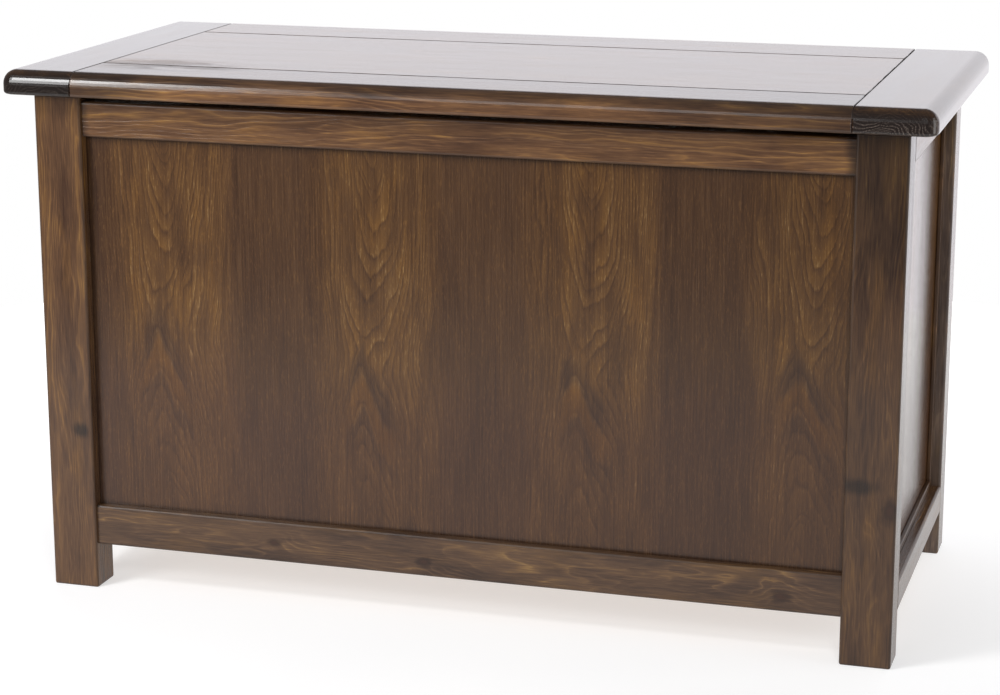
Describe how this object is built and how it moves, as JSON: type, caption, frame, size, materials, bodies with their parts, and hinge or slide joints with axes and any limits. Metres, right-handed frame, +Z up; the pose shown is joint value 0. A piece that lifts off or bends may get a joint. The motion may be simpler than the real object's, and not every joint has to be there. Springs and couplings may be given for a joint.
{
  "type": "blanket chest",
  "caption": "Low stained-pine storage chest with framed panel sides on square post legs and a hinged lid with a rounded front edge.",
  "frame": {"origin": "floor level, under the middle of the closed chest's overall box (lid and hinge barrels included)", "axes": "+X along the width to the chest's own left-to-right as seen from the front, -Y out of the front, +Z up"},
  "size_m": [0.878, 0.4034, 0.513],
  "materials": {
    "stained_pine": "dark stained pine under glossy lacquer",
    "veneered_panel": "stained crown-cut pine veneer under satin-gloss lacquer",
    "plain_board": "unfinished softwood and plywood, matt",
    "brass": "plated, lightly worn",
    "steel_pin": "bright drawn wire",
    "rubber_buffer": "matt"
  },
  "bodies": {
    "carcass": {"back_lower_rail": "stained_pine", "back_panel": "veneered_panel", "back_upper_rail": "stained_pine", "bottom_batten_back": "plain_board", "bottom_batten_front": "plain_board", "bottom_batten_left": "plain_board", "bottom_batten_right": "plain_board", "bottom_board": "plain_board", "front_lower_rail": "stained_pine", "front_panel": "veneered_panel", "front_upper_rail": "stained_pine", "hinge_left_carcass_leaf": "brass", "hinge_left_carcass_screw_1": "brass", "hinge_left_carcass_screw_2": "brass", "hinge_left_carcass_screw_3": "brass", "hinge_left_pin": "steel_pin", "hinge_right_carcass_leaf": "brass", "hinge_right_carcass_screw_1": "brass", "hinge_right_carcass_screw_2": "brass", "hinge_right_carcass_screw_3": "brass", "hinge_right_pin": "steel_pin", "left_bead_back": "stained_pine", "left_bead_bottom": "stained_pine", "left_bead_front": "stained_pine", "left_bead_top": "stained_pine", "left_lower_rail": "stained_pine", "left_panel": "veneered_panel", "left_upper_rail": "stained_pine", "lid_buffer_left": "rubber_buffer", "lid_buffer_right": "rubber_buffer", "post_back_left": "stained_pine", "post_back_right": "stained_pine", "post_front_left": "stained_pine", "post_front_right": "stained_pine", "right_bead_back": "stained_pine", "right_bead_bottom": "stained_pine", "right_bead_front": "stained_pine", "right_bead_top": "stained_pine", "right_lower_rail": "stained_pine", "right_panel": "veneered_panel", "right_upper_rail": "stained_pine"},
    "lid": {"lid_back_board": "stained_pine", "lid_centre_board": "stained_pine", "lid_end_board_left": "stained_pine", "lid_end_board_right": "stained_pine", "lid_front_board": "stained_pine", "hinge_left_lid_leaf": "brass", "hinge_left_lid_screw_1": "brass", "hinge_left_lid_screw_2": "brass", "hinge_left_lid_screw_3": "brass", "hinge_right_lid_leaf": "brass", "hinge_right_lid_screw_1": "brass", "hinge_right_lid_screw_2": "brass", "hinge_right_lid_screw_3": "brass"}
  },
  "joints": [
    {"name": "lid_hinge", "type": "hinge", "parent": "carcass", "child": "lid", "pos_m": [0, 0.19925, 0.489], "axis": [-1, 0, 0], "range_deg": [0, 95]}
  ]
}
